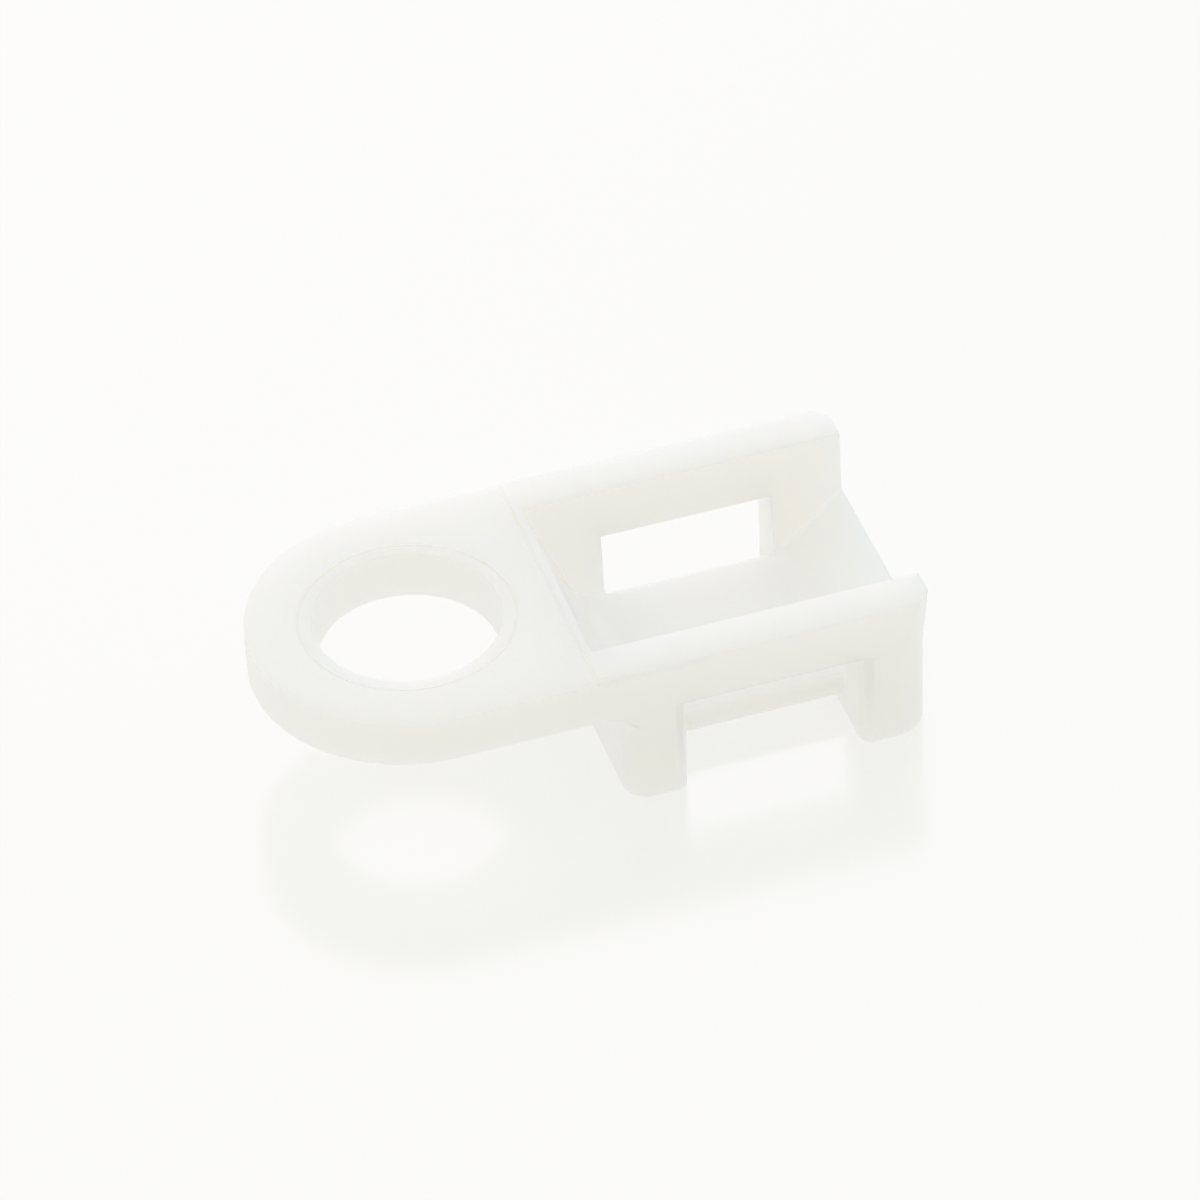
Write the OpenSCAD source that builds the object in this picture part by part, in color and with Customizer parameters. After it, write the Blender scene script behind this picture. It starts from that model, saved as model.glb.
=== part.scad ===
// Cable tie mount: a one-piece nylon moulding. A flat round-ended tab with a screw hole
// carries an open-topped box. Two cross ribs join its side strips to a low bridge, and a
// tie passes over the bridge, in through one side opening and out through the other.
//
// Frame: millimetres. X runs along the length, tab at -X. Y runs across the width.
// Z is up, and the ribs stand on z = 0. The origin is midway along the length and width.
// The tab's top face is taken to be the side that goes against the panel.

/* [Body] */
// Overall length
length = 30.45; // [25:0.05:38]
// Overall width, which is also the diameter of the tab's round end
width = 15; // [12.6:0.1:18.6]
// Height of the tab's top face above the rib feet
tab_height = 7.65; // [6.4:0.05:9.4]
// Thickness of the tab
tab_thickness = 2.38; // [1.6:0.02:3.2]
// How far the side strips stand above the tab's top face
strip_step = 0.07; // [0:0.01:0.3]
// Distance from the hole's centre to the step where the side strips begin
step_x = 6.76; // [6:0.02:7.4]
// Radius along the strips' outer top edges
strip_round = 0.25; // [0.1:0.05:0.8]
// Radius of the two upright corners at the open end
end_corner = 1.9; // [0.8:0.05:2.15]
// How much those corners fill out towards the top
corner_flare = 0.25; // [0.05:0.05:0.6]
// Height above the rib feet where they begin to fill out
flare_from = 4.6; // [3:0.1:6.2]

/* [Screw hole] */
// Radius of the hole's straight wall
hole_radius = 4.2; // [3:0.05:4.6]
// How much wider the hole's top rim is than its straight wall
lead_in = 0.2; // [0.05:0.01:0.4]
// Height of the part that widens towards the top rim
lead_in_height = 1.2; // [0.4:0.05:1.5]
// Mean radius of the fine ring line around the hole
ring_radius = 5.04; // [4.9:0.02:5.8]
// Width of the ring line
ring_width = 0.08; // [0.05:0.01:0.3]
// Depth of the ring line
ring_depth = 0.05; // [0.02:0.01:0.15]

/* [Ribs] */
// Distance from the hole's centre to the outer face of the rib below the tab
tab_rib_start = 8.06; // [7.5:0.02:9]
// Distance from the hole's centre to the near side of the tie opening
opening_start = 10.98; // [10.4:0.02:11.8]
// Width of the tie opening along the length
opening_length = 8.43; // [6.8:0.05:8.8]
// Radius between the tab's underside and the rib below it
root_fillet = 1.45; // [0.6:0.05:1.9]
// Radius of the tab rib's outer upright corners
tab_rib_corner = 1.2; // [0.4:0.05:1.8]
// Radius of the upright corners beside the tie openings
opening_corner = 0.6; // [0.3:0.05:1.2]

/* [Side openings] */
// How far the strips' undersides drop from outer edge to inner edge
strip_underside_drop = 0.26; // [0:0.02:0.5]

/* [Inside] */
// Thickness of the side walls at their top
wall_thickness = 2.2; // [1.7:0.02:2.9]
// How far each wall's inner face leans in between top and bridge
wall_lean = 0.42; // [0:0.02:0.6]
// Width of the narrow ledge between the step and the inside edge
ledge = 0.44; // [0.2:0.02:0.8]
// Run of the steep face at the tab end
steep_run = 2; // [1.6:0.05:2.5]
// Height of the foot of the steep face above the rib feet
steep_foot = 2.8; // [2.4:0.05:3.6]
// Radius between the steep face and the bridge
foot_radius = 1.35; // [0.5:0.05:1.7]
// Height of the sill at the open end above the rib feet
sill_height = 4.6; // [3.6:0.05:5.2]
// Run of the ramp from the sill down to the bridge
ramp_run = 3; // [2.2:0.02:3.4]

/* [Bridge] */
// Height of the bridge's top above the rib feet
bridge_top = 1.94; // [1.5:0.02:2.6]
// Thickness of the bridge, whose two long edges are fully rounded
bridge_thickness = 1.15; // [0.7:0.05:1.5]
// How far the bridge's rounded edges reach past the feet of the inner walls
bridge_lap = 0.07; // [0:0.01:0.4]

/* [Show] */
// Which node to draw

/* [Hidden] */
$fn = 96;
// Distance that cutters run past a face
over = 1;
// How far the bridge runs into each rib
bridge_root = 0.6;
half = width / 2;
hole_x = half - length / 2;
open_end = length / 2;
top = tab_height + strip_step;
tab_under = tab_height - tab_thickness;
step_at = hole_x + step_x;
edge_at = step_at + ledge;
rib_at = hole_x + tab_rib_start;
open_at = hole_x + opening_start;
open_to = open_at + opening_length;
strip_low = tab_under - strip_underside_drop;
inner_top = half - wall_thickness;
inner_low = inner_top - wall_lean;
ramp_foot = open_end - ramp_run;

tie_mount();

// The whole moulding.
module tie_mount() {
    color([0.93, 0.93, 0.89]) {
        difference() {
            union() {
                tab();
                tab_rib();
                box();
            }
            inside();
            tie_openings();
            screw_hole();
            ring_line();
        }
        bridge();
    }
}

// Flat tab, rounded about the hole's centre.
module tab() {
    translate([hole_x, 0, tab_under]) linear_extrude(tab_thickness) union() {
        circle(half);
        translate([0, -half]) square([step_x, width]);
        translate([0, -half + strip_round]) square([step_x + over, width - 2 * strip_round]);
    }
}

// The rib below the tab, with its rounded outer corners and the fillet under the tab.
module tab_rib() {
    linear_extrude(tab_under + tab_thickness / 2) tab_rib_plan();
    corner_y = half - tab_rib_corner;
    intersection() {
        translate([rib_at - root_fillet, -half, tab_under - root_fillet])
            cube([root_fillet + tab_rib_corner, width, root_fillet]);
        union() {
            translate([rib_at, 0, tab_under - root_fillet]) rotate([90, 0, 0])
                linear_extrude(2 * corner_y, center = true) mirror([1, 0]) root_section();
            for (side = [-1, 1])
                translate([rib_at + tab_rib_corner, side * corner_y, tab_under - root_fillet])
                    rotate_extrude() translate([tab_rib_corner, 0]) root_section();
        }
    }
}

// Section of the fillet, its two flat sides along x = 0 and along its top.
module root_section() {
    difference() {
        square(root_fillet);
        translate([root_fillet, 0]) circle(root_fillet);
    }
}

// Outline of the tab rib seen from above.
module tab_rib_plan() {
    translate([rib_at, -half + tab_rib_corner])
        square([open_at - rib_at, width - 2 * tab_rib_corner]);
    translate([rib_at + tab_rib_corner, -half])
        square([open_at - rib_at - tab_rib_corner, width]);
    for (side = [-1, 1])
        translate([rib_at + tab_rib_corner, side * (half - tab_rib_corner)]) circle(tab_rib_corner);
}

// Solid block of side walls and end rib, before it is hollowed.
module box() {
    intersection() {
        union() {
            linear_extrude(top) box_plan();
            for (side = [-1, 1]) end_post(side);
        }
        along_x(step_at - over, open_end + over) box_section();
        rotate([90, 0, 0]) linear_extrude(width + 2 * over, center = true) box_profile();
    }
}

// Outline of the box seen from above, short of the corners at the open end.
module box_plan() {
    translate([step_at, -half]) square([open_end - end_corner - step_at, width]);
    translate([step_at, -half + end_corner])
        square([open_end - step_at, width - 2 * end_corner]);
}

// One upright corner at the open end, round below and fuller towards the top.
module end_post(side) {
    intersection() {
        translate([open_end - end_corner - over, side * (half - end_corner / 2), top / 2])
            cube([2 * (end_corner + over), end_corner, top], center = true);
        translate([open_end - end_corner, side * (half - end_corner), 0]) union() {
            cylinder(r = end_corner, h = flare_from);
            translate([0, 0, flare_from])
                cylinder(r1 = end_corner, r2 = end_corner + corner_flare, h = top - flare_from);
        }
        translate([0, -half, 0]) cube([open_end, width, top]);
    }
}

// Section of the box across the width, with rounded outer top edges.
module box_section() {
    translate([-half, 0]) square([width, top - strip_round]);
    translate([-half + strip_round, 0]) square([width - 2 * strip_round, top]);
    for (side = [-1, 1])
        translate([side * (half - strip_round), top - strip_round]) circle(strip_round);
}

// Side view of the box: strips all along, feet only beyond the tab rib's inner side.
module box_profile() {
    translate([step_at, tab_under]) square([open_end - step_at, top - tab_under]);
    translate([open_at, 0]) square([open_end - open_at, top]);
}

// The hollow between the side walls, open at the top and above the end sill.
module inside() {
    intersection() {
        rotate([90, 0, 0]) linear_extrude(width, center = true) inside_profile();
        along_x(step_at, open_end + over) inside_section();
    }
}

// Side view of the hollow: steep face, rounded foot, flat bottom, ramp up to the sill.
module inside_profile() {
    rise = (sill_height - bridge_top) / ramp_run;
    lean = atan2(top - steep_foot, steep_run);
    steep_low = edge_at + (top - bridge_top) / tan(lean);
    reach = foot_radius * tan(lean / 2);
    polygon([
        [edge_at - over / tan(lean), top + over],
        [steep_low - reach * cos(lean), bridge_top + reach * sin(lean)],
        [steep_low + reach, bridge_top],
        [ramp_foot, bridge_top],
        [open_end + over, sill_height + rise * over],
        [open_end + over, top + over]
    ]);
    translate([steep_low + reach, bridge_top + foot_radius]) circle(foot_radius);
}

// Section of the hollow across the width, its walls leaning in towards the bridge.
module inside_section() {
    slope = wall_lean / (top - bridge_top);
    polygon([
        [-inner_low + slope * over, bridge_top - over], [inner_low - slope * over, bridge_top - over],
        [inner_top + slope * over, top + over], [-inner_top - slope * over, top + over]
    ]);
}

// Space below the strips, right through from side to side.
module tie_openings() {
    intersection() {
        translate([0, 0, -over]) linear_extrude(top) opening_plan();
        along_x(open_at - opening_corner - over, open_to + opening_corner + over) polygon([
            [-half - over, -over], [half + over, -over],
            [half + over, tab_under], [half, tab_under], [inner_low, strip_low],
            [-inner_low, strip_low], [-half, tab_under], [-half - over, tab_under]
        ]);
    }
}

// Outline of the openings seen from above, flared round the ribs' upright corners.
module opening_plan() {
    translate([open_at, -half - over]) square([opening_length, width + 2 * over]);
    for (side = [-1, 1]) difference() {
        translate([open_at - opening_corner, side * half - opening_corner])
            square([opening_length + 2 * opening_corner, 2 * opening_corner]);
        for (x = [open_at - opening_corner, open_to + opening_corner])
            translate([x, side * (half - opening_corner)]) circle(opening_corner);
    }
}

// Low bridge between the ribs, its long edges rounded.
module bridge() {
    r = bridge_thickness / 2;
    y = inner_low + bridge_lap - r;
    along_x(open_at - bridge_root, open_to + bridge_root) union() {
        translate([-y, bridge_top - bridge_thickness]) square([2 * y, bridge_thickness]);
        for (side = [-1, 1]) translate([side * y, bridge_top - r]) circle(r);
    }
}

// Screw hole with a slightly widened top rim.
module screw_hole() {
    translate([hole_x, 0, tab_under - over]) cylinder(r = hole_radius, h = tab_thickness + 2 * over);
    translate([hole_x, 0, tab_height - lead_in_height])
        cylinder(r1 = hole_radius, r2 = hole_radius + lead_in, h = lead_in_height);
}

// Fine line around the hole.
module ring_line() {
    translate([hole_x, 0, tab_height - ring_depth]) difference() {
        cylinder(r = ring_radius + ring_width / 2, h = ring_depth + over);
        translate([0, 0, -over])
            cylinder(r = ring_radius - ring_width / 2, h = ring_depth + 3 * over);
    }
}

// Draws a section, given as [y, z], as a bar from x = from to x = to.
module along_x(from, to) {
    translate([from, 0, 0]) rotate([90, 0, 90]) linear_extrude(to - from) children();
}
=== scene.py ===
"""Cable tie mount: one moulding of natural nylon on a pale polished table, in soft studio light.

Everything is in metres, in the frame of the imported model: X along the length from the tab to
the open end, Y across the width, Z up from the rib feet.
"""
import math

import bmesh
import bpy
import numpy as np
from mathutils import Matrix, Vector


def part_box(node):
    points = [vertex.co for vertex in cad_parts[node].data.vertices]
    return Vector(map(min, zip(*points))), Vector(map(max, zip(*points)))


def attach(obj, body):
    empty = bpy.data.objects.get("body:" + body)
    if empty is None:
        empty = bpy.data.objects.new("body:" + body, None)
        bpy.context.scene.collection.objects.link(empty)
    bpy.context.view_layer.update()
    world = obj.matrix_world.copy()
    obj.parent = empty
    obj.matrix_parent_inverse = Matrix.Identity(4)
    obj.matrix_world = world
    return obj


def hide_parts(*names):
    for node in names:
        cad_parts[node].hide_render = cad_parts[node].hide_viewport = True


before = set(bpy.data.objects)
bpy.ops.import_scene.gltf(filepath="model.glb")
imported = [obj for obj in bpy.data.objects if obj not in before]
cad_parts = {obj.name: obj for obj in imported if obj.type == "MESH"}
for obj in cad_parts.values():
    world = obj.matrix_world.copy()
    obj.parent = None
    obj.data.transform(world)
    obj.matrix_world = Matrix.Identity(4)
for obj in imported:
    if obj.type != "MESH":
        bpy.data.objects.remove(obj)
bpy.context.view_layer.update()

MM = 0.001

# Places that follow from the moulding's own box
LOW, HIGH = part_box("tie_mount")
HALF_WIDTH = HIGH.y
HOLE_X = LOW.x + HALF_WIDTH
TOP = HIGH.z

# The tab's ring line, the strips' step, and where the tie openings' rounded corners end
RING_RADIUS = 5.04 * MM
STEP_X = HOLE_X + 6.76 * MM
OPENING_TIPS = (HOLE_X + 10.38 * MM, HOLE_X + 20.01 * MM)

# Heights of the strips' undersides, and of where the end corners begin to fill out
STRIP_UNDERSIDE = 5.27 * MM
FLARE_FROM = 4.6 * MM

# Fine radius on the moulding's outward edges, and the least angle of an edge that takes it
EDGE_RADIUS = 0.07 * MM
EDGE_SEGMENTS = 3
EDGE_ANGLE = math.radians(28)

# Loose corners closer than WELD are joined, and faces within FLAT_ANGLE of each other are merged
WELD = 0.0005 * MM
FLAT_ANGLE = math.radians(0.4)

# Camera
AZIMUTH = 0.293567
ELEVATION = 0.716519
ROLL = -0.039962
DISTANCE = 327.94 * MM
TARGET = Vector((HOLE_X + 10.196 * MM, 3.1285 * MM, 3.0 * MM))
LENS = 210
SENSOR = 36

# Light from each side of the room, and how far up the overhead light begins and is full
OVERHEAD_LIGHT = (0.967, 0.956, 0.903, 1)
BACK_LIGHT = (1.189, 1.156, 1.22, 1)
FRONT_LIGHT = (0.55, 0.52, 0.3, 1)
LEFT_LIGHT = (0.794, 0.789, 0.732, 1)
RIGHT_LIGHT = (0.717, 0.83, 0.95, 1)
OVERHEAD_FROM, OVERHEAD_FULL = 0.45, 0.95
LAMP_PLACE = (0.10, 0.28, 0.55)
LAMP_SIZE = 0.5
LAMP_WATTS = 0.01

# Nylon: its two cloud colours, how far light travels in it by red, green and blue, and its surface
NYLON_PALE = (0.985, 0.975, 0.935, 1)
NYLON_DEEP = (0.978, 0.969, 0.928, 1)
CLOUD_SIZE = 3.2 * MM
LIGHT_REACH = 12 * MM
REACH_BY_COLOUR = (1.0, 0.82, 0.62)
NYLON_IOR = 1.53
HAZE_SIZE = 0.9 * MM
SATIN, DULL = 0.34, 0.46
GRAIN_SIZE, GRAIN_DEPTH = 0.09 * MM, 0.0016 * MM
SWELL_SIZE, SWELL_DEPTH = 2.4 * MM, 0.012 * MM
# Painted shade: a faint dark line painted along the tab's ring line and the strips' step, in place
# of the shade in the groove and at the step. Its colour, its share, and the widths where it is
# full and where it ends.
PAINTED_LINE_SHADE = (0.45, 0.43, 0.36, 1)
PAINTED_LINE_SHARE = 0.16
PAINTED_LINE_CORE, PAINTED_LINE_EDGE = 0.03 * MM, 0.10 * MM

# Table
TABLE_REACH = 3.0
TABLE_COLOUR = (0.24, 0.24, 0.235, 1)
TABLE_ROUGHNESS = 0.9
GLOW_COLOUR = (1.0, 1.0, 0.985, 1)
TABLE_GLOW = 0.797
SHINE_SHARE = 0.30
SHINE_ROUGHNESS = 0.15


# ---------------------------------------------------------------- camera and light


def place_camera():
    """Looks at TARGET from DISTANCE away, turned by ROLL about its own line of sight."""
    back = Vector((
        -math.sin(AZIMUTH) * math.cos(ELEVATION),
        -math.cos(AZIMUTH) * math.cos(ELEVATION),
        math.sin(ELEVATION),
    ))
    right = (-back).cross(Vector((0, 0, 1))).normalized()
    up = back.cross(right)
    x_axis = right * math.cos(ROLL) + up * math.sin(ROLL)
    y_axis = up * math.cos(ROLL) - right * math.sin(ROLL)
    data = bpy.data.cameras.new("camera")
    data.lens = LENS
    data.sensor_width = SENSOR
    data.clip_start = 10 * MM
    data.clip_end = 100
    camera = bpy.data.objects.new("camera", data)
    turn = Matrix((x_axis, y_axis, back)).transposed().to_4x4()
    camera.matrix_world = Matrix.Translation(TARGET + back * DISTANCE) @ turn
    bpy.context.scene.collection.objects.link(camera)
    bpy.context.scene.camera = camera


def soft_lamp():
    """A broad, faint square lamp above and behind, facing the origin."""
    data = bpy.data.lights.new("overhead", "AREA")
    data.shape = "SQUARE"
    data.size = LAMP_SIZE
    data.energy = LAMP_WATTS
    lamp = bpy.data.objects.new("overhead", data)
    turn = Vector(LAMP_PLACE).to_track_quat("Z", "Y").to_matrix().to_4x4()
    lamp.matrix_world = Matrix.Translation(Vector(LAMP_PLACE)) @ turn
    bpy.context.scene.collection.objects.link(lamp)


def light_room():
    """A pale room with its own brightness overhead and on each side."""
    world = bpy.data.worlds.new("room")
    m = Maker(world)
    x, y, z = m.split(m.node("ShaderNodeTexCoord").outputs["Generated"])
    across = m.math("MULTIPLY", x, x)
    along = m.math("MULTIPLY", y, y)
    share = m.math("DIVIDE", along, m.math("MAXIMUM", m.math("ADD", across, along), 1e-6))
    front_back = m.mix(m.math("GREATER_THAN", y), FRONT_LIGHT, BACK_LIGHT)
    left_right = m.mix(m.math("GREATER_THAN", x), LEFT_LIGHT, RIGHT_LIGHT)
    around = m.mix(share, left_right, front_back)
    colour = m.mix(m.span(z, OVERHEAD_FROM, OVERHEAD_FULL), around, OVERHEAD_LIGHT)
    m.feed(m.tree.nodes["Background"].inputs["Color"], colour)
    bpy.context.scene.world = world


# ---------------------------------------------------------------- node helpers


class Maker:
    """Short calls for building the node tree of one material or world."""

    def __init__(self, owner):
        owner.use_nodes = True
        self.tree = owner.node_tree

    def node(self, kind, **settings):
        made = self.tree.nodes.new(kind)
        for key, value in settings.items():
            setattr(made, key, value)
        return made

    def feed(self, socket, value):
        """Links value to socket if it is an output, or sets it as the socket's own value."""
        if isinstance(value, bpy.types.NodeSocket):
            self.tree.links.new(value, socket)
        else:
            socket.default_value = value

    def math(self, operation, a, b=0.0):
        made = self.node("ShaderNodeMath", operation=operation)
        self.feed(made.inputs[0], a)
        self.feed(made.inputs[1], b)
        return made.outputs["Value"]

    def span(self, value, low, high, out_low=0.0, out_high=1.0):
        """value from low..high, eased to out_low..out_high and held at its ends."""
        made = self.node("ShaderNodeMapRange", interpolation_type="SMOOTHSTEP")
        numbers = {"From Min": low, "From Max": high, "To Min": out_low, "To Max": out_high}
        for name, number in numbers.items():
            made.inputs[name].default_value = number
        self.feed(made.inputs["Value"], value)
        return made.outputs["Result"]

    def noise(self, vector, cell, detail, roughness=0.5):
        """Noise whose clouds are about cell metres across."""
        made = self.node("ShaderNodeTexNoise")
        made.inputs["Scale"].default_value = 1 / cell
        made.inputs["Detail"].default_value = detail
        made.inputs["Roughness"].default_value = roughness
        self.feed(made.inputs["Vector"], vector)
        return made.outputs["Fac"]

    def mix(self, share, first, second):
        made = self.node("ShaderNodeMix", data_type="RGBA")
        self.feed(made.inputs["Factor"], share)
        self.feed(made.inputs["A"], first)
        self.feed(made.inputs["B"], second)
        return made.outputs["Result"]

    def split(self, vector):
        made = self.node("ShaderNodeSeparateXYZ")
        self.feed(made.inputs["Vector"], vector)
        return made.outputs

    def bump(self, height, depth, normal=None):
        made = self.node("ShaderNodeBump")
        made.inputs["Strength"].default_value = 1.0
        made.inputs["Distance"].default_value = depth
        self.feed(made.inputs["Height"], height)
        if normal is not None:
            self.feed(made.inputs["Normal"], normal)
        return made.outputs["Normal"]


# ---------------------------------------------------------------- finishes


def natural_nylon():
    """Milky translucent nylon: cloudy within, satin outside, with a faint painted shade along its
    ring line and step.
    """
    material = bpy.data.materials.new("natural_nylon")
    m = Maker(material)
    shader = m.tree.nodes["Principled BSDF"]
    place = m.node("ShaderNodeTexCoord").outputs["Object"]
    x, y, z = m.split(place)
    cloud = m.noise(place, CLOUD_SIZE, detail=3.0)
    colour = m.mix(m.span(cloud, 0.35, 0.65), NYLON_PALE, NYLON_DEEP)
    from_hole = m.math("SUBTRACT", x, HOLE_X)
    squares = m.math("ADD", m.math("MULTIPLY", from_hole, from_hole), m.math("MULTIPLY", y, y))
    radius = m.math("SQRT", squares)
    off_ring = m.math("ABSOLUTE", m.math("SUBTRACT", radius, RING_RADIUS))
    on_top = m.span(z, TOP - 0.3 * MM, TOP - 0.1 * MM)
    off_step = m.math("ABSOLUTE", m.math("SUBTRACT", x, STEP_X))
    off_line = m.math("MINIMUM", off_ring, off_step)
    # Painted shade on the top face along the ring line and the step, where the groove and the step
    # edge would be shaded.
    painted_shade_mask = m.math("MULTIPLY", m.span(off_line, PAINTED_LINE_EDGE, PAINTED_LINE_CORE), on_top)
    colour = m.mix(m.math("MULTIPLY", painted_shade_mask, PAINTED_LINE_SHARE), colour, PAINTED_LINE_SHADE)
    m.feed(shader.inputs["Base Color"], colour)
    shader.inputs["Subsurface Weight"].default_value = 1.0
    shader.inputs["Subsurface Radius"].default_value = REACH_BY_COLOUR
    shader.inputs["Subsurface Scale"].default_value = LIGHT_REACH
    shader.inputs["IOR"].default_value = NYLON_IOR
    haze = m.noise(place, HAZE_SIZE, detail=4.0)
    m.feed(shader.inputs["Roughness"], m.span(haze, 0.3, 0.7, SATIN, DULL))
    grain = m.noise(place, GRAIN_SIZE, detail=3.0, roughness=0.6)
    swell = m.noise(place, SWELL_SIZE, detail=1.0)
    normal = m.bump(swell, SWELL_DEPTH)
    m.feed(shader.inputs["Normal"], m.bump(grain, GRAIN_DEPTH, normal))
    return material


def polished_table():
    """White lit sheet with a soft shine, which shows a blurred reflection of what stands on it."""
    material = bpy.data.materials.new("polished_table")
    m = Maker(material)
    shader = m.tree.nodes["Principled BSDF"]
    shader.inputs["Base Color"].default_value = TABLE_COLOUR
    shader.inputs["Roughness"].default_value = TABLE_ROUGHNESS
    shader.inputs["Specular IOR Level"].default_value = 0.0
    shader.inputs["Emission Color"].default_value = GLOW_COLOUR
    shader.inputs["Emission Strength"].default_value = TABLE_GLOW
    shine = m.node("ShaderNodeBsdfGlossy")
    shine.inputs["Roughness"].default_value = SHINE_ROUGHNESS
    both = m.node("ShaderNodeMixShader")
    both.inputs["Fac"].default_value = SHINE_SHARE
    m.feed(both.inputs[1], shader.outputs["BSDF"])
    m.feed(both.inputs[2], shine.outputs["BSDF"])
    m.feed(m.tree.nodes["Material Output"].inputs["Surface"], both.outputs["Shader"])
    return material


# ---------------------------------------------------------------- moulding and table


def near(value, target, millimetres):
    """True when value is less than so many millimetres from target."""
    return abs(value - target) < millimetres * MM


def is_fine_detail(place):
    """True at the ring line, the step, the fuller end corners and the openings' corner tips."""
    across = abs(place.y)
    from_hole = math.hypot(place.x - HOLE_X, place.y)
    on_ring = place.z > TOP - 0.2 * MM and near(from_hole, RING_RADIUS, 0.1)
    on_step = place.z > TOP - 0.45 * MM and near(place.x, STEP_X, 0.06)
    at_end = place.x > HIGH.x - 2 * MM and across > HIGH.y - 2.3 * MM
    inside_rim = place.x < HIGH.x - 0.1 * MM and across < HIGH.y - 0.3 * MM
    on_top = place.z > TOP - 0.05 * MM and inside_rim
    in_corner = at_end and place.z > FLARE_FROM - 0.1 * MM and not on_top
    near_tip = any(near(place.x, tip, 0.25) for tip in OPENING_TIPS)
    at_tip = near_tip and across > HIGH.y - 0.3 * MM and near(place.z, STRIP_UNDERSIDE, 0.3)
    return on_ring or on_step or in_corner or at_tip


def edge_is_rounded(edge):
    """True on each outward corner edge that is long enough to take the mould radius."""
    if len(edge.link_faces) != 2 or not edge.is_convex or edge.calc_face_angle(0) < EDGE_ANGLE:
        return False
    return not is_fine_detail((edge.verts[0].co + edge.verts[1].co) / 2)


def moulded_body():
    """The moulding's own shape, its loose triangles joined, with a fine radius on its edges."""
    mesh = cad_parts["tie_mount"].data.copy()
    mesh.materials.clear()
    bm = bmesh.new()
    bm.from_mesh(mesh)
    bmesh.ops.remove_doubles(bm, verts=bm.verts, dist=WELD)
    bmesh.ops.dissolve_limit(bm, angle_limit=FLAT_ANGLE, verts=bm.verts, edges=bm.edges)
    weight = bm.edges.layers.float.new("bevel_weight_edge")
    for edge in bm.edges:
        edge[weight] = float(edge_is_rounded(edge))
    bm.to_mesh(mesh)
    bm.free()
    mesh.name = "moulded_body"
    mesh.shade_smooth()
    mesh.set_sharp_from_angle(angle=EDGE_ANGLE)
    body = bpy.data.objects.new("moulded_body", mesh)
    bpy.context.scene.collection.objects.link(body)
    bevel = body.modifiers.new("mould_radius", "BEVEL")
    bevel.limit_method = "WEIGHT"
    bevel.width = EDGE_RADIUS
    bevel.segments = EDGE_SEGMENTS
    bevel.use_clamp_overlap = False
    bevel.harden_normals = True
    mesh.materials.append(natural_nylon())
    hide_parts("tie_mount")
    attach(body, "root")
    return body


def table_top():
    """A flat sheet 6 m square, its face at the height of the rib feet."""
    corners = TABLE_REACH * np.array([[-1, -1, 0], [1, -1, 0], [1, 1, 0], [-1, 1, 0]])
    mesh = bpy.data.meshes.new("table_top")
    mesh.from_pydata(corners.tolist(), [], [(0, 1, 2, 3)])
    mesh.materials.append(polished_table())
    table = bpy.data.objects.new("table_top", mesh)
    bpy.context.scene.collection.objects.link(table)


place_camera()
light_room()
soft_lamp()
table_top()
moulded_body()

bpy.context.scene.view_settings.view_transform = "Standard"
